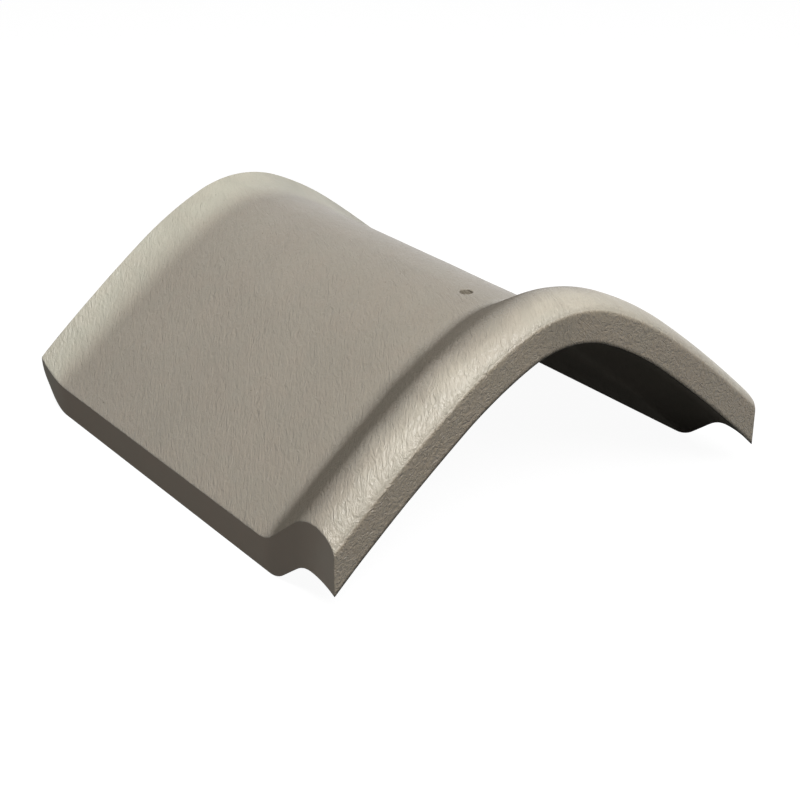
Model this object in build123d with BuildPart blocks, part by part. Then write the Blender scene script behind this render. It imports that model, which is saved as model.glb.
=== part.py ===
from build123d import *
from math import asin, cos, degrees, radians, sin
import os

os.makedirs("parts", exist_ok=True)

# Ridge tile, sizes in millimetres and degrees.
# X runs along the roof ridge, with the collar at the +X end. Z is up, and the tile
# stands on the two lower inside edges of its wings.

tile_length = 276.5
tile_width = 250
body_thickness = 11.6

# The arch across the ridge, along its inside face from the crest down to one foot.
# Three arcs flatten out towards the foot, which is cut plumb at the tile's full width.
crown_radius = 44
crown_turn = 23.7
shoulder_radius = 165
shoulder_turn = 13.2
wing_radius = 800

# The collar roll. Heights are above the inside face of the body.
roll_height = 29.6
roll_front_length = 14.3
roll_front_radius = 24.5
roll_edge_radius = 5
roll_back_radius = 31.5
roll_slope = 30.8
valley_radius = 24

# The rebate under the roll, which goes over the lip of the next tile.
rebate_height = 11.9
rebate_front_length = 18
rebate_front_radius = 58
rebate_back_radius = 21.5
rebate_slope = 29
rebate_nose_radius = 23.5

# The flared lip at the far end.
lip_flare_length = 28
lip_flare_radius = 65
lip_undercut_radius = 25.5
lip_undercut_turn = 37.5
lip_undercut_straight_length = 7.5
lip_nose_radius = 12.3
lip_nose_turn = 36

# The other two arrises at the tile's ends are just broken.
arris_radius = 0.3

# The nail hole on the crest, between the roll and the middle of the tile.
nail_hole_diameter = 6.3
nail_hole_from_collar = 73.5

collar_end = tile_length / 2
lip_end = -tile_length / 2


def joining_run(rise, slope, upper_radius, lower_radius):
    """Length of the straight between two arcs that carry a surface down by the rise."""
    bends = (upper_radius + lower_radius) * (1 - cos(radians(slope)))
    return (rise - bends) / sin(radians(slope))


roll_run = joining_run(roll_height - body_thickness, roll_slope, roll_back_radius, valley_radius)
rebate_run = joining_run(rebate_height, rebate_slope, rebate_back_radius, rebate_nose_radius)

lip_full_turn = lip_undercut_turn + lip_nose_turn
undercut_length = (
    lip_undercut_radius * sin(radians(lip_undercut_turn))
    + lip_undercut_straight_length * cos(radians(lip_undercut_turn))
    + lip_nose_radius * (sin(radians(lip_full_turn)) - sin(radians(lip_undercut_turn)))
)

with BuildPart() as ridge_tile:
    # The wall as it is cut along the crest, drawn with the crest of the inside at Z = 0.
    with BuildSketch(Plane.XZ) as wall_section:
        with BuildLine():
            # Over the roll, from its crest forward to the end face.
            roll_crest = (collar_end - roll_front_length, roll_height)
            roll_front = JernArc(roll_crest, (1, 0), roll_front_radius,
                                 -degrees(asin(roll_front_length / roll_front_radius)))

            # From the crest back down into the valley and on to the body.
            roll_back = JernArc(roll_crest, (-1, 0), roll_back_radius, roll_slope)
            roll_straight = PolarLine(roll_back @ 1, roll_run, direction=roll_back % 1)
            valley = JernArc(roll_straight @ 1, roll_straight % 1, valley_radius, -roll_slope)

            # Along the body and up the flare to the tip of the lip.
            flare_start = (lip_end + lip_flare_length, body_thickness)
            body_top = Line(valley @ 1, flare_start)
            flare = JernArc(flare_start, (-1, 0), lip_flare_radius,
                            -degrees(asin(lip_flare_length / lip_flare_radius)))

            # The hollow underside of the lip.
            undercut_start = (lip_end + undercut_length, 0)
            undercut = JernArc(undercut_start, (-1, 0), lip_undercut_radius, -lip_undercut_turn)
            undercut_straight = PolarLine(undercut @ 1, lip_undercut_straight_length, direction=undercut % 1)
            lip_nose = JernArc(undercut_straight @ 1, undercut_straight % 1,
                               lip_nose_radius, -lip_nose_turn)
            lip_face = Line(lip_nose @ 1, flare @ 1)

            # The rebate inside the roll, from its crest both ways.
            rebate_crest = (collar_end - rebate_front_length, rebate_height)
            rebate_front = JernArc(rebate_crest, (1, 0), rebate_front_radius,
                                   -degrees(asin(rebate_front_length / rebate_front_radius)))
            rebate_back = JernArc(rebate_crest, (-1, 0), rebate_back_radius, rebate_slope)
            rebate_straight = PolarLine(rebate_back @ 1, rebate_run, direction=rebate_back % 1)
            rebate_nose = JernArc(rebate_straight @ 1, rebate_straight % 1,
                                  rebate_nose_radius, -rebate_slope)
            body_inside = Line(rebate_nose @ 1, undercut_start)
            end_face = Line(rebate_front @ 1, roll_front @ 1)
        make_face()
        for corner, radius in (
            (roll_front @ 1, roll_edge_radius),
            (rebate_front @ 1, arris_radius),
            (flare @ 1, arris_radius),
        ):
            fillet(vertices().sort_by_distance(corner)[0], radius)

    # Half of the arch across the ridge, run on past the foot so that the cut is clean.
    with BuildLine(Plane.YZ) as half_arch:
        crown = JernArc((0, 0), (1, 0), crown_radius, -crown_turn)
        shoulder = JernArc(crown @ 1, crown % 1, shoulder_radius, -shoulder_turn)
        arch_turn = crown_turn + shoulder_turn
        foot_reach = tile_width / 2 - (shoulder @ 1).Y
        foot_slope = degrees(asin(sin(radians(arch_turn)) + foot_reach / wing_radius))
        wing = JernArc(shoulder @ 1, shoulder % 1, wing_radius, arch_turn - foot_slope)
        foot = wing @ 1
        run_on = PolarLine(foot, 2 * roll_height, direction=wing % 1)

    sweep(wall_section.sketch, path=half_arch.line)
    sweep(wall_section.sketch, path=mirror(half_arch.line, about=Plane.XZ, mode=Mode.PRIVATE))

    # Both feet are cut off plumb, and stand where the inside of the arch meets the cut.
    with Locations((0, 0, foot.Z)):
        Box(2 * tile_length, tile_width, 2 * (roll_height - foot.Z),
            align=(Align.CENTER, Align.CENTER, Align.MIN), mode=Mode.INTERSECT)

    # The nail hole goes straight down through the crest.
    with Locations((collar_end - nail_hole_from_collar, 0, body_thickness)):
        Hole(nail_hole_diameter / 2, depth=2 * body_thickness)

ridge_tile.part = ridge_tile.part.moved(Location((0, 0, -foot.Z)))
ridge_tile.part.label = "ridge_tile"
export_step(ridge_tile.part, "parts/ridge_tile.step")
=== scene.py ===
import math

import bpy
import numpy as np
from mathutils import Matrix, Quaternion, Vector, noise


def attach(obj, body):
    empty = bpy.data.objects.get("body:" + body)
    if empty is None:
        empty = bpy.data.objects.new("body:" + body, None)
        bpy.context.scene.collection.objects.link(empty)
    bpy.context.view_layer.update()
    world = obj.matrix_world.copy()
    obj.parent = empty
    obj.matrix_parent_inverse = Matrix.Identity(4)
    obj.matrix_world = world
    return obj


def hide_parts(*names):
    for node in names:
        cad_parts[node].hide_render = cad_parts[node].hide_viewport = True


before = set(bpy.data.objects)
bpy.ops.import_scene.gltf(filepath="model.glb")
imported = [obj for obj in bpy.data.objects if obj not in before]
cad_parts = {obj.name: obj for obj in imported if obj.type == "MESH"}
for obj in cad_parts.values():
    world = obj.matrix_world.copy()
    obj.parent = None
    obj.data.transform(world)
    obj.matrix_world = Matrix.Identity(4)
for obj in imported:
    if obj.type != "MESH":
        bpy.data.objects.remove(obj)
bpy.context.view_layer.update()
perMetre = 1000                        # shapes and finishes are given in mm
print("frame loaded")


# Shader maths. A Wire is an output socket, and + - * on it add Math nodes.
class Wire:
    def __init__(self, surface, socket):
        self.surface, self.socket = surface, socket

    def maths(self, operation, first, second=0.0):
        return self.surface.node("ShaderNodeMath", {"operation": operation}, {0: first, 1: second})

    def __add__(self, other):
        return self.maths("ADD", self, other)

    def __sub__(self, other):
        return self.maths("SUBTRACT", self, other)

    def __mul__(self, other):
        return self.maths("MULTIPLY", self, other)

    def __radd__(self, other):
        return self.maths("ADD", other, self)

    def __rsub__(self, other):
        return self.maths("SUBTRACT", other, self)

    def __rmul__(self, other):
        return self.maths("MULTIPLY", other, self)

    def __abs__(self):
        return self.maths("ABSOLUTE", self)

    def most(self, other):
        return self.maths("MAXIMUM", self, other)

    def between(self, low, high):      # 0 at low, 1 at high, eased at both ends
        return self.surface.node("ShaderNodeMapRange", {"interpolation_type": "SMOOTHSTEP"},
                                 {"Value": self, "From Min": low, "From Max": high})


class Surface:                         # one node tree, a material's or the world's
    def __init__(self, owner):
        owner.use_nodes = True
        self.owner, self.tree = owner, owner.node_tree

    def fill(self, socket, value):
        if isinstance(value, Wire):
            self.tree.links.new(value.socket, socket)
        elif isinstance(value, (int, float)):
            socket.default_value = value
        else:
            wanted = len(socket.default_value)
            socket.default_value = (*value, 1.0)[:wanted]

    def node(self, kind, settings, sockets, output=0):    # output is one socket, or a tuple
        added = self.tree.nodes.new(kind)
        for name, value in settings.items():
            setattr(added, name, value)
        for key, value in sockets.items():
            named = [s for s in added.inputs if key in (s.identifier, s.name)]
            self.fill(added.inputs[key] if isinstance(key, int) else named[0], value)
        if isinstance(output, tuple):
            return [Wire(self, added.outputs[key]) for key in output]
        return Wire(self, added.outputs[output])

    def mix(self, factor, first, second, mode="MIX"):     # colours
        result = 2                     # the colour one of three outputs with the same name
        return self.node("ShaderNodeMix",
                         {"data_type": "RGBA", "blend_type": mode, "clamp_result": False},
                         {"Factor_Float": factor, "A_Color": first, "B_Color": second}, result)

    def vector(self, operation, *values, output=0):
        return self.node("ShaderNodeVectorMath", {"operation": operation},
                         dict(enumerate(values)), output)

    def joined(self, x, y, z):
        return self.node("ShaderNodeCombineXYZ", {}, {0: x, 1: y, 2: z})

    def noise(self, place, scale, detail, roughness, distortion):
        return self.node("ShaderNodeTexNoise", {},
                         {"Vector": place, "Scale": scale, "Detail": detail,
                          "Roughness": roughness, "Distortion": distortion})

    def finish(self, kind, **values):  # values for the tree's own shader
        shader = self.tree.nodes[kind]
        for name, value in values.items():
            self.fill(shader.inputs[name.replace("_", " ")], value)
        return Wire(self, shader.outputs[0]) if len(shader.outputs) else None


def blend(low, high, mask):
    return low + (high - low) * mask


# the concrete: coloured through, sealed outside, bare and sandy underneath
concrete = {
    "sealed": (0.338, 0.297, 0.237),
    "cut": (0.390, 0.335, 0.279),               # the plumb cut of the feet
    # bare concrete underneath, darker than it is: partly its own colour, partly painted shade under
    # the tile
    "bareAndShaded": (0.255, 0.231, 0.194),
    "blush": (1.010, 0.998, 0.990), "moss": (0.994, 1.001, 0.996),      # a faint drift of hue
    "hueDrift": (0.36, 0.64),                   # of the noise, from blush to moss
    # every noise: where in it, how many to the mm, detail, roughness, distortion
    "grains": {
        "clouds": ((0, 0, 0), 1 / 45, 4, 0.55, 0.4),
        "drift": ((310, 70, 500), 1 / 19, 3, 0.5, 0.8),
        "sand": ((20, 900, 40), 0.95, 2, 0.6, 0.0),
        "runs": ((0, 0, 0), 1.0, 3, 0.5, 0.3),
        "pinPatches": ((77, 12, 9), 0.035, 1, 0.5, 0.0),
        "wrinkles": ((0, 0, 0), 0.55, 3, 0.55, 0.9),
        "creases": ((0, 0, 0), 0.33, 2, 0.5, 1.3),
        "dents": ((60, 60, 900), 0.11, 1, 0.5, 0.0),
        "grit": ((0, 0, 0), 1.9, 2, 0.6, 0.0),
        "sheen": ((9, 9, 9), 0.16, 3, 0.6, 0.0),
    },
    # how much each changes the tone, and how much less of it the cut feet show
    "clouds": 0.20, "runs": 0.05, "sand": 0.085, "cutCalm": 0.75,
    "runStretch": (0.09, 0.012, 0.012),         # runs to the mm along x, y and z
    # pin holes, in patches; their darker colour is painted shade in the pits
    "pinSpacing": 9.0, "pinEdge": (0.18, 0.45), "pinPlace": (5, 5, 5), "pinPatch": (0.50, 0.58),
    "pinShade": 0.30, "pinDepth": 0.12,
    # paler where an arris has worn: reach, raggedness, how pale
    "wearReach": (0.1, 1.1), "wearRagged": 1.2, "wear": 0.05,
    # painted highlight and painted shade by x: from and to, how much paler or darker, tint
    "patchy": 16, "paintedLightClouds": 0.9,         # how far and how much the clouds change it
    # painted highlight on the collar's top: paler and more neutral
    "collarTop": (116, 132), "collarHighlight": 0.76, "collarHighlightTint": (0.972, 1.005, 1.025),
    # painted highlight on the flare by the lip: paler and more neutral
    "flare": (-128, -106), "flareHighlight": 0.88, "flareHighlightTint": (0.930, 1.005, 1.030),
    # painted shade on the end face: a little darker and warmer
    "face": (137.6, 138.2), "faceShade": -0.05, "faceShadeTint": (1.045, 0.995, 0.915),
    "valleyShadeFrom": (80, 94), "valleyShadeTo": (108, 122), "valleyShade": 0.42,            # painted shade in the valley behind the roll
    # painted shade: a dark line along the lip's end
    "lipLine": (-138.1, -137.7), "lipShade": 0.18,
    # painted shade along the edge of the mouth, ragged by the clouds and the sand
    "mouthReach": (-0.2, 2.3), "mouthRagged": (1.4, 0.8), "mouthShadeStrength": 0.92,
    "mouthShadeTint": (0.144, 0.1552, 0.16),
    # depth of the relief, and where there is more or less of it
    "wrinkles": 0.56, "creases": 0.40, "dents": 0.20,
    "grit": 0.022, "gritBelow": 0.035, "cutGrit": 0.8,
    "calmCrest": (18, 75), "crestRelief": 0.85,
    "collarRise": (98, 125), "collarRelief": 1.25, "faceRelief": 2.0,
    # the way that the wrinkles are drawn out, how far, and what keeps one side from
    # mirroring the other
    "drag": (-0.71, -0.53, 0.46), "dragLength": 3.3, "sides": (-22, 22), "sideShift": 55,
    # gloss: roughness of the sealed film, the cut and the bare concrete, and their spread
    "filmRoughness": 0.34, "cutRoughness": 0.80, "bareRoughness": 0.90, "sheenSpread": 0.16,
    "filmLevel": 0.60, "dullLevel": 0.027,      # strength of the reflection
    "mouthMatt": 0.8, "valleyShadeMatt": 0.85,         # how much of the film these take away
}


def tileSkin():
    look = concrete
    skin = Surface(bpy.data.materials.new("moulded concrete"))
    place = skin.node("ShaderNodeTexCoord", {}, {}, "Object")
    place = skin.vector("MULTIPLY", place, (perMetre,) * 3)
    x, y, z = skin.node("ShaderNodeSeparateXYZ", {}, {"Vector": place}, (0, 1, 2))
    marks, arris = skin.node("ShaderNodeAttribute", {"attribute_name": "finish"}, {},
                             ("Color", "Alpha"))
    sealed, cut, mouth = skin.node("ShaderNodeSeparateColor", {}, {"Color": marks}, (0, 1, 2))

    def grain(name, base):
        shift, *kind = look["grains"][name]
        return skin.noise(skin.vector("ADD", base, shift), *kind)

    stretchX, stretchY, stretchZ = look["runStretch"]
    clouds = grain("clouds", place) - 0.5
    sand = grain("sand", place) - 0.5
    runs = grain("runs", skin.joined(x * stretchX, y * stretchY, z * stretchZ)) - 0.5
    pins = skin.node("ShaderNodeTexVoronoi", {"feature": "F1"},
                     {"Vector": skin.vector("ADD", place, look["pinPlace"]),
                      "Scale": 1 / look["pinSpacing"], "Randomness": 1.0})
    inPatch = grain("pinPatches", place).between(*look["pinPatch"])
    pit = (1.0 - (pins * look["pinSpacing"]).between(*look["pinEdge"])) * inPatch

    # colour
    # where light and shade are painted: highlight on the collar's top and the flare, shade on the
    # end face, the lip's end and in the valley
    face = x.between(*look["face"])
    edge = x + clouds * look["patchy"]          # painted light and shade don't end along a ruled line
    collarTop = edge.between(*look["collarTop"]) * (1.0 - face)
    flare = 1.0 - edge.between(*look["flare"])
    # painted shade in the valley behind the roll
    valleyShade = edge.between(*look["valleyShadeFrom"]) * (1.0 - edge.between(*look["valleyShadeTo"]))
    body = skin.mix(sealed, look["bareAndShaded"], look["sealed"])
    body = skin.mix(cut, body, look["cut"])
    hue = skin.mix(grain("drift", place).between(*look["hueDrift"]), look["blush"], look["moss"])
    # the collar's and the flare's tints are part of their painted highlight, the end face's tint
    # part of its painted shade
    for mask, tint in ((1.0, hue), (collarTop * sealed, look["collarHighlightTint"]),
                       (flare * sealed, look["flareHighlightTint"]), (face * sealed, look["faceShadeTint"])):
        body = skin.mix(mask, body, tint, "MULTIPLY")

    # tone
    uneven = 1.0 - cut * look["cutCalm"]
    cloudy = clouds * look["clouds"] + runs * look["runs"] + sand * look["sand"]
    # painted highlight and painted shade, as paler or darker tone
    paintedLight = collarTop * look["collarHighlight"] + flare * look["flareHighlight"] + face * look["faceShade"]
    paintedLight = paintedLight - (1.0 - x.between(*look["lipLine"])) * look["lipShade"] - valleyShade * look["valleyShade"]
    paintedLightTone = paintedLight * (1.0 + clouds * look["paintedLightClouds"]) * sealed * uneven
    worn = 1.0 - (arris + sand * look["wearRagged"]).between(*look["wearReach"])
    tone = (1.0 + cloudy * uneven) * (1.0 + paintedLightTone) + worn * look["wear"]
    # painted shade in the pin holes
    tone = tone * (1.0 - pit * look["pinShade"])
    body = skin.mix(1.0, body, skin.joined(tone, tone, tone), "MULTIPLY")
    # painted shade along the mouth's arris on the end face
    byClouds, bySand = look["mouthRagged"]
    shade = 1.0 - (mouth + clouds * byClouds + sand * bySand).between(*look["mouthReach"])
    shade = shade * look["mouthShadeStrength"]
    body = skin.mix(shade, body, look["mouthShadeTint"], "MULTIPLY")

    # relief
    relief = blend(look["crestRelief"], 1.0, abs(y).between(*look["calmCrest"]))
    relief = relief * blend(1.0, look["collarRelief"], x.between(*look["collarRise"]))
    relief = relief * blend(1.0, look["faceRelief"] / look["collarRelief"], face)
    side = y.between(*look["sides"]) * look["sideShift"]
    folded = skin.joined(x + side, abs(y), z)
    run = skin.vector("DOT_PRODUCT", folded, look["drag"], output="Value")
    run = run * (1 / look["dragLength"] - 1)
    drawn = skin.vector("MULTIPLY_ADD", skin.joined(run, run, run), look["drag"], folded)
    creases = 1.0 - abs(grain("creases", drawn) * 2.0 - 1.0)
    height = (grain("wrinkles", drawn) * look["wrinkles"] + creases * look["creases"]
              + grain("dents", place) * look["dents"]) * relief * sealed * (1.0 - cut)
    gritDepth = blend(look["gritBelow"], look["grit"], sealed) * (1.0 - cut * look["cutGrit"])
    height = height + grain("grit", place) * gritDepth - pit * look["pinDepth"]
    normal = skin.node("ShaderNodeBump", {},
                       {"Strength": 1.0, "Distance": 1 / perMetre, "Height": height})

    # gloss: the sealed film where it lies, dull concrete elsewhere
    vary = (grain("sheen", place) - 0.5) * look["sheenSpread"]
    film = sealed * (1.0 - cut) * (1.0 - pit) * (1.0 - shade * look["mouthMatt"])
    # less film where the valley's shade is painted
    film = film * (1.0 - valleyShade * look["valleyShadeMatt"])
    glossy = skin.finish("Principled BSDF", Base_Color=body, Normal=normal,
                         Roughness=look["filmRoughness"] + vary,
                         Specular_IOR_Level=look["filmLevel"])
    dull = skin.node("ShaderNodeBsdfPrincipled", {},
                     {"Base Color": body, "Normal": normal,
                      "Roughness": blend(look["bareRoughness"], look["cutRoughness"], cut) + vary,
                      "Specular IOR Level": look["dullLevel"]})
    both = skin.node("ShaderNodeMixShader", {}, {0: film, 1: dull, 2: glossy})
    skin.finish("Material Output", Surface=both)
    return skin.owner


# the tile, X along the ridge and the collar at +X
tile = {
    "halfWidth": 125.0,          # from the crest to the plumb cut of a foot
    "crestInside": 86.328,       # height of the crest's inside
    "archBends": ((44.0, 23.7), (165.0, 13.2), (800.0, None)),   # inside radius, turn
    # the wall as cut along the crest: x, height over the inside, turn on the way to the next
    # corner, spacing of the points on it
    "wall": (
        (87.144, 0.000, 29.0, 1.7), (98.537, 2.946, 0.0, 2.2), (109.827, 9.204, -29.0, 1.7),
        (120.250, 11.900, -17.674, 1.6), (137.859, 9.162, 107.674, 0.14),      # rebate, mouth arris
        (138.250, 9.448, 0.0, 1.3), (138.250, 22.239, 61.515, 0.8),            # end face
        (135.635, 26.634, 28.485, 1.1), (123.950, 29.600, 30.8, 1.1),          # roll
        (107.821, 25.157, 0.0, 1.3), (90.757, 14.985, -30.8, 1.2),             # its back and valley
        (78.467, 11.600, 0.0, 1.5), (70.250, 11.600, 0.0, 1.0), (59.250, 11.600, 0.0, 1.5),
        (-110.250, 11.600, -25.1, 1.3), (-137.823, 17.738, 115.1, 0.14),       # flare, lip arris
        (-138.250, 17.466, 0.0, 0.7), (-138.250, 16.100, 36.0, 1.0),
        (-133.944, 9.835, 0.0, 1.4), (-127.994, 5.269, 37.5, 1.4),             # under the lip
        (-112.471, 0.000, 0.0, 3.0), (59.250, 0.000, 0.0, 1.0), (70.250, 0.000, 0.0, 3.0),
    ),
    # which of those corners starts what
    "mouthArris": 4, "endFace": 5, "patchOver": 12, "lipArris": 15, "under": 17, "patchUnder": 21,
    "filmUnderLip": 3,           # points past the lip that the sealed film reaches
    "columnSpacing": 1.45, "spacingHeight": 12,           # held at that height over the inside
    "hole": {
        "x": 64.75, "radius": 3.15, "rim": 0.4,
        "filmDown": 0.6,         # share of the wall's height where the film in the bore ends
        "patchReach": 5.5, "patchHeight": 6, "patchColumns": 5,         # half of its square patch
        "ringsOver": (1.2, 0.5), "boreRings": (0.75, 0.5, 0.25), "ringUnder": 0.6,
    },
    "footArris": 0.3,
    "sway": ((0.028, 0.14), (0.085, 0.04)),     # slow waves of a moulded face: per mm, depth
    "swayFade": 12,
    "farOff": 99.0,              # mm from an arris, where there is none near
}

# the sheet that the tile is unfolded on: start and share of it
sheet = {
    "outside": (0.01, 0.67), "inside": (0.69, 0.30), "archRun": (0.01, 0.85), "footRing": 0.003,
    "footMiddle": 0.43, "feet": (0.88, 0.935), "footScale": (0.84 / 278, 0.045 / 60),
    "hole": (0.935, 0.93), "holeRings": (0.06, 0.012),
}


def arcPoints(start, end, turn, spacing):       # from start up to end, without end
    chord = math.dist(start, end)
    half = math.radians(turn) / 2
    if not half:
        count = max(1, round(chord / spacing))
        return [(start[0] + (end[0] - start[0]) * k / count,
                 start[1] + (end[1] - start[1]) * k / count) for k in range(count)]
    radius = chord / (2 * math.sin(half))
    count = max(2, round(abs(2 * radius * half) / spacing))
    heading = math.atan2(end[1] - start[1], end[0] - start[0]) - half
    middle = (start[0] - radius * math.sin(heading), start[1] + radius * math.cos(heading))
    return [(middle[0] + radius * math.sin(heading + 2 * half * k / count),
             middle[1] - radius * math.cos(heading + 2 * half * k / count)) for k in range(count)]


def wallOutline(shape):                         # points, outward directions, row of each corner
    corners = shape["wall"]
    outline, cornerRows = [], []
    for corner, following in zip(corners, corners[1:] + corners[:1]):
        cornerRows.append(len(outline))
        outline += arcPoints(corner[:2], following[:2], *corner[2:])
    outline = np.array(outline)
    along = np.roll(outline, -1, 0) - np.roll(outline, 1, 0)
    along /= np.linalg.norm(along, axis=1)[:, None]
    return outline, np.stack([along[:, 1], -along[:, 0]], 1), cornerRows


def archBends(shape):                           # radius, centre's y and z, first and last angle
    bends, angle, y, z = [], 0.0, 0.0, shape["crestInside"]
    for radius, turn in shape["archBends"]:
        middle = (y - radius * math.sin(angle), z - radius * math.cos(angle))
        last = (angle + math.radians(turn) if turn
                else math.asin((shape["halfWidth"] - middle[0]) / radius))
        bends.append((radius, *middle, angle, last))
        angle = last
        y, z = middle[0] + radius * math.sin(angle), middle[1] + radius * math.cos(angle)
    return bends


def onArch(bend, height, angle):                # y and z of points at a height over the inside
    radius, middleY, middleZ = bend[:3]
    return middleY + (radius + height) * np.sin(angle), middleZ + (radius + height) * np.cos(angle)


def footAngle(bend, height, plane):             # where a plumb plane meets the last bend
    return np.arcsin((plane - bend[1]) / (bend[0] + height))


def archSteps(shape, bends):                    # half the arch: a bend and a share of its turn
    hole, crown = shape["hole"], bends[0]
    patchShare = math.asin(hole["patchReach"] / (crown[0] + hole["patchHeight"])) / crown[4]
    steps = [(crown, patchShare * k / hole["patchColumns"]) for k in range(hole["patchColumns"])]
    for bend in bends:
        start = patchShare if bend is crown else 0
        length = (bend[4] - bend[3]) * (1 - start) * (bend[0] + shape["spacingHeight"])
        count = round(length / shape["columnSpacing"])
        steps += [(bend, start + (1 - start) * k / count) for k in range(count)]
    return steps + [(bends[-1], 1.0)]


def archColumns(shape, steps, outline, outward):          # points and outward directions
    columns, slopes = [], []
    footBend, plane = steps[-1][0], shape["halfWidth"] - shape["footArris"]
    for side, halfSteps in ((-1, steps[:0:-1]), (1, steps)):
        for bend, share in halfSteps:
            last = footAngle(bend, outline[:, 1], plane) if bend is footBend else bend[4]
            angle = bend[3] + (last - bend[3]) * share + np.zeros(len(outline))
            y, z = onArch(bend, outline[:, 1], angle)
            columns.append(np.stack([outline[:, 0], side * y, z], 1))
            slopes.append(np.stack([outward[:, 0], side * outward[:, 1] * np.sin(angle),
                                    outward[:, 1] * np.cos(angle)], 1))
    return np.array(columns), np.array(slopes).reshape(-1, 3)


def swayed(shape, points, slopes):              # slow waves, none at the feet
    fade = np.clip((shape["halfWidth"] - np.abs(points[:, 1])) / shape["swayFade"], 0, 1)
    wave = sum(depth * np.array([noise.noise(Vector(p * rate)) for p in points])
               for rate, depth in shape["sway"])
    return points + slopes * (wave * fade)[:, None]


def footRings(shape, bend, outline, outward):   # a small soft edge, then the cut itself
    soft, rings = shape["footArris"], []
    for side in (-1, 1):
        for turn in (math.radians(45), math.radians(90)):
            inner = outline - outward * soft * (1 - math.cos(turn))
            plane = shape["halfWidth"] - soft * (1 - math.sin(turn))
            y, z = onArch(bend, inner[:, 1], footAngle(bend, inner[:, 1], plane))
            rings.append(np.stack([inner[:, 0], side * y, z], 1))
    return rings


def holeProfile(shape):                         # radius, height over the inside, lift
    hole, wall = shape["hole"], shape["wall"][shape["patchOver"]][1]
    radius, rim = hole["radius"], hole["rim"]
    quarter = [math.radians(a) for a in (0, 30, 60, 90)]
    profile = [(radius + rim + reach, wall, 0.0) for reach in hole["ringsOver"]]
    profile += [(radius + rim * (1 - math.sin(a)), wall, rim * (math.cos(a) - 1)) for a in quarter]
    profile += [(radius, wall * share, 0.0) for share in hole["boreRings"]]
    profile += [(radius + rim * (1 - math.cos(a)), 0.0, rim * (1 - math.sin(a))) for a in quarter]
    return profile + [(radius + rim + hole["ringUnder"], 0.0, 0.0)]


def acrossSheet(shape, outline, cornerRows):    # where a row of the wall lies on the sheet
    faceRow, underRow = cornerRows[shape["endFace"]], cornerRows[shape["under"]]
    steps = np.linalg.norm(np.roll(outline, -1, 0) - outline, axis=1)
    lengths = np.concatenate([[0], np.cumsum(steps)])
    outerLength = lengths[underRow] - lengths[faceRow]
    innerLength = lengths[-1] - outerLength
    (outerStart, outerShare), (innerStart, innerShare) = sheet["outside"], sheet["inside"]

    def across(row, base):                      # base is the first row of its strip
        if faceRow <= base < underRow:
            return outerStart + outerShare * (lengths[row] - lengths[faceRow]) / outerLength
        run = lengths[row] - lengths[underRow] + (0 if base >= underRow else lengths[-1])
        return innerStart + innerShare * run / innerLength

    return across


def tileFinish(shape, outline, cornerRows):     # film, mm from the mouth, mm from an arris
    rows = np.arange(len(outline))
    faceRow, mouthRow = cornerRows[shape["endFace"]], cornerRows[shape["mouthArris"]]
    film = (rows >= faceRow) & (rows < cornerRows[shape["under"]] + shape["filmUnderLip"])
    fromMouth = np.linalg.norm(outline - outline[mouthRow + 1], axis=1)
    fromLip = np.linalg.norm(outline - outline[cornerRows[shape["lipArris"]] + 1], axis=1)
    onFace = (rows >= faceRow) & (rows < cornerRows[shape["endFace"] + 1])
    mouth = np.where(onFace, fromMouth, shape["farOff"])
    mouth[mouthRow:faceRow + 1] = 0
    return film.astype(float), mouth, np.minimum(fromMouth, fromLip)


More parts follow.
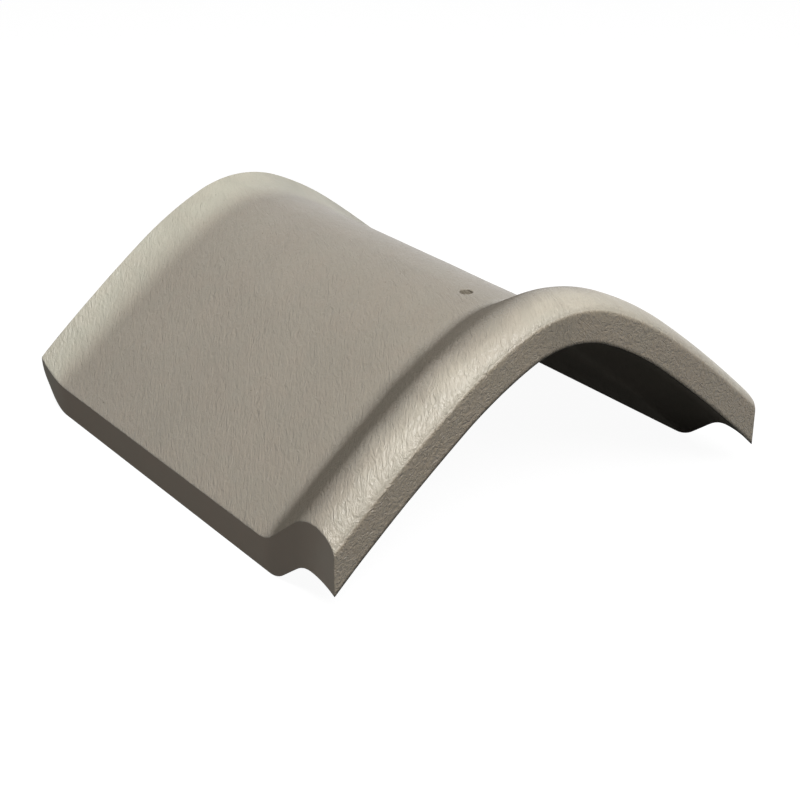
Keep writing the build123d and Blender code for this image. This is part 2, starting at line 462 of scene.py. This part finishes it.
def buildTile(shape):
    outline, outward, cornerRows = wallOutline(shape)
    bends, hole, rows = archBends(shape), shape["hole"], len(outline)
    steps = archSteps(shape, bends)
    columns, slopes = archColumns(shape, steps, outline, outward)
    trueGrid = columns.reshape(-1, 3)
    parts, total = [swayed(shape, trueGrid, slopes)], len(trueGrid)

    def addRing(points):                        # returns the ids of its points
        nonlocal total
        parts.append(points)
        total += len(points)
        return np.arange(total - len(points), total)

    softA, cutA, softB, cutB = (addRing(ring)
                                for ring in footRings(shape, bends[-1], outline, outward))

    # the nail hole: rings from its square patch in to the rim, down the bore and out again
    overRow, underRow = cornerRows[shape["patchOver"]], cornerRows[shape["patchUnder"]]
    overEnd, underEnd = cornerRows[shape["patchOver"] + 1], cornerRows[shape["patchUnder"] + 1]
    crest = len(steps) - 1
    fromColumn, toColumn = crest - hole["patchColumns"], crest + hole["patchColumns"]

    def roundHole(point):
        justOver = 1e-9                         # puts a point on the crest on one side of it
        return math.atan2(trueGrid[point][1] + justOver, trueGrid[point][0] - hole["x"])

    def patchLoop(first, last):
        loop = [(c, r) for c in (fromColumn, toColumn) for r in range(first, last + 1)]
        loop += [(c, r) for r in (first, last) for c in range(fromColumn + 1, toColumn)]
        return sorted((c * rows + r for c, r in loop), key=roundHole)

    loops, profile, crown = [patchLoop(overRow, overEnd)], holeProfile(shape), bends[0]
    angles = np.array([roundHole(point) for point in loops[0]])
    for radius, height, lift in profile:
        y = radius * np.sin(angles)
        z = crown[2] + np.sqrt((crown[0] + height) ** 2 - y * y) + lift
        loops.append(addRing(np.stack([hole["x"] + radius * np.cos(angles), y, z], 1)))
    loops.append(patchLoop(underRow, underEnd))
    points = np.concatenate(parts)

    # quads from foot to foot, but for the nail hole's two patches, and their place on the sheet
    across = acrossSheet(shape, outline, cornerRows)
    runs = np.linalg.norm(np.diff(columns[:, overRow], axis=0), axis=1)
    start, share = sheet["archRun"]
    along = start + share * np.concatenate([[0], np.cumsum(runs)]) / runs.sum()
    ring = sheet["footRing"]
    along = [along[0] - 2 * ring, along[0] - ring, *along, along[-1] + ring, along[-1] + 2 * ring]
    strips = [cutA, softA, *np.arange(len(trueGrid)).reshape(-1, rows), softB, cutB]
    patchStrips = range(fromColumn + 2, toColumn + 2)
    faces, mapped = [], []
    for k, (lower, upper) in enumerate(zip(strips, strips[1:])):
        for r in range(rows):
            if k in patchStrips and (overRow <= r < overEnd or underRow <= r < underEnd):
                continue
            n = (r + 1) % rows
            u0, u1 = across(r, r), across(r + 1, r)
            faces.append((lower[r], upper[r], upper[n], lower[n]))
            mapped.append(((u0, along[k]), (u0, along[k + 1]), (u1, along[k + 1]), (u1, along[k])))
    holeU, holeV = sheet["hole"]
    ringSizes = np.linspace(*sheet["holeRings"], len(loops))
    for outer, inner, size, nextSize in zip(loops, loops[1:], ringSizes, ringSizes[1:]):
        for k in range(len(angles)):
            n = (k + 1) % len(angles)
            faces.append((outer[k], outer[n], inner[n], inner[k]))
            mapped.append([(holeU + r * math.cos(angles[j]), holeV + r * math.sin(angles[j]))
                           for r, j in ((size, k), (size, n), (nextSize, n), (nextSize, k))])
    footStart = len(faces)
    scaleX, scaleZ = sheet["footScale"]
    for loop, v in zip((cutA, cutB[::-1]), sheet["feet"]):
        faces.append(tuple(loop))
        mapped.append([(sheet["footMiddle"] + points[i][0] * scaleX, v + points[i][2] * scaleZ)
                       for i in loop])

    # the finish: sealed film, cut foot, mm from the mouth's arris, mm from the nearest arris
    film, mouth, arris = tileFinish(shape, outline, cornerRows)
    count, farOff = len(columns), shape["farOff"]
    finish = np.tile((0.0, 0.0, farOff, farOff), (len(points), 1))
    onGrid = finish[:len(trueGrid)]
    onGrid[:, 0], onGrid[:, 2] = np.tile(film, count), np.tile(mouth, count)
    onGrid[:, 3] = np.minimum(np.tile(arris, count), shape["halfWidth"] - np.abs(trueGrid[:, 1]))
    for ids in (softA, cutA, softB, cutB):
        finish[ids, 0], finish[ids, 2], finish[ids, 3] = film, mouth, 0
    filmFrom = shape["wall"][shape["patchOver"]][1] * hole["filmDown"]
    for ids, (radius, height, lift) in zip(loops[1:], profile):
        finish[ids, 0] = 1.0 if height > filmFrom else 0.0
        finish[ids, 3] = max(0, radius - hole["radius"] - hole["rim"])

    mesh = bpy.data.meshes.new("ridgeTile")
    mesh.from_pydata((points / perMetre).tolist(), [], [tuple(int(i) for i in f) for f in faces])
    sheetPlaces = np.concatenate([np.array(m) for m in mapped]).astype(np.float32)
    mesh.uv_layers.new(name="OFBake").uv.foreach_set("vector", sheetPlaces.ravel())
    corner = np.zeros(len(mesh.loops), dtype=np.int32)
    mesh.loops.foreach_get("vertex_index", corner)
    values = finish[corner]
    values[mesh.polygons[footStart].loop_start:] = (1.0, 1.0, farOff, farOff)
    layer = mesh.attributes.new("finish", "FLOAT_COLOR", "CORNER")
    layer.data.foreach_set("color", values.astype(np.float32).ravel())
    mesh.shade_smooth()
    for foot in mesh.polygons[footStart:]:
        foot.use_smooth = False
    mesh.materials.append(tileSkin())
    piece = bpy.data.objects.new("ridgeTile", mesh)
    bpy.context.collection.objects.link(piece)
    print("ridge tile: %d faces, %d rows, %d columns" % (len(faces), rows, count))
    return piece


ridgeTile = buildTile(tile)
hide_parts("ridge_tile")
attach(ridgeTile, "root")

# the studio: white paper and four disc lamps
studio = {
    "paperSize": 14,
    "paper": 0.08,              # what the floor gives back to the tile
    "paperSeen": 0.95,          # how white it looks in the tile's deepest shadow
    "paperShadow": 0.16,        # what the lamps add there, and the shadow takes away
    "paperRoughness": 0.9,
    "world": 0.02,
    # name, azimuth, elevation, distance, size across, power
    "lamps": (("over", 297, 65, 1.6, 0.60, 11.8), ("far", 40, 60, 1.6, 0.8, 2.4),
              ("mouth", 352, 48, 1.6, 0.7, 11.2), ("back", 180, 45, 1.6, 0.8, 0.2)),
    "lampsAim": (0, 0, 0.05),
}


def seenStraight(surface):         # rays from the camera, off a gloss or through a glass
    camera, glossy, through = surface.node(
        "ShaderNodeLightPath", {}, {}, ("Is Camera Ray", "Is Glossy Ray", "Is Transmission Ray"))
    return camera.most(glossy).most(through)


def studioFloor():
    bpy.ops.mesh.primitive_plane_add(size=studio["paperSize"])
    floor = bpy.context.object
    floor.name = "studioFloor"
    paper = Surface(bpy.data.materials.new("studio paper"))
    dim = paper.finish("Principled BSDF", Base_Color=(studio["paper"],) * 3,
                       Roughness=studio["paperRoughness"], Specular_IOR_Level=0.0)
    glow = paper.node("ShaderNodeEmission", {},
                      {"Color": (1, 1, 1), "Strength": studio["paperSeen"]})
    lit = paper.node("ShaderNodeBsdfDiffuse", {}, {"Color": (studio["paperShadow"],) * 3})
    white = paper.node("ShaderNodeAddShader", {}, {0: glow, 1: lit})
    both = paper.node("ShaderNodeMixShader", {}, {0: seenStraight(paper), 1: dim, 2: white})
    paper.finish("Material Output", Surface=both)
    floor.data.materials.append(paper.owner)


def studioWorld():
    world = bpy.data.worlds.new("studio")
    bpy.context.scene.world = world
    around = Surface(world)
    around.finish("Background", Color=(1, 1, 1),
                  Strength=blend(studio["world"], 1, seenStraight(around)))


def studioLamps():
    for name, azimuth, elevation, distance, size, power in studio["lamps"]:
        light = bpy.data.lights.new(name, "AREA")
        light.shape, light.size, light.energy = "DISK", size, power
        holder = bpy.data.objects.new(name, light)
        around, up = math.radians(azimuth), math.radians(elevation)
        away = Vector((math.cos(up) * math.cos(around), math.cos(up) * math.sin(around),
                       math.sin(up)))
        holder.location = Vector(studio["lampsAim"]) + away * distance
        holder.rotation_euler = (-away).to_track_quat("-Z", "Y").to_euler()
        bpy.context.collection.objects.link(holder)


studioFloor()
studioWorld()
studioLamps()
print("studio set")

# the camera: metres, the way it looks, degrees of roll, mm of lens and sensor
shot = {
    "place": (0.6351, -0.4607, 0.3782),
    "look": (-0.73007, 0.54132, -0.41709),
    "roll": 0.5868,
    "lens": 75.61,
    "sensor": 36,
}
camera = bpy.data.cameras.new("camera")
camera.lens, camera.sensor_width = shot["lens"], shot["sensor"]
stand = bpy.data.objects.new("camera", camera)
stand.location = shot["place"]
rolled = Quaternion((0, 0, 1), math.radians(shot["roll"]))
stand.rotation_euler = (Vector(shot["look"]).to_track_quat("-Z", "Y") @ rolled).to_euler()
bpy.context.collection.objects.link(stand)
bpy.context.scene.camera = stand
bpy.context.scene.view_settings.view_transform = "Standard"
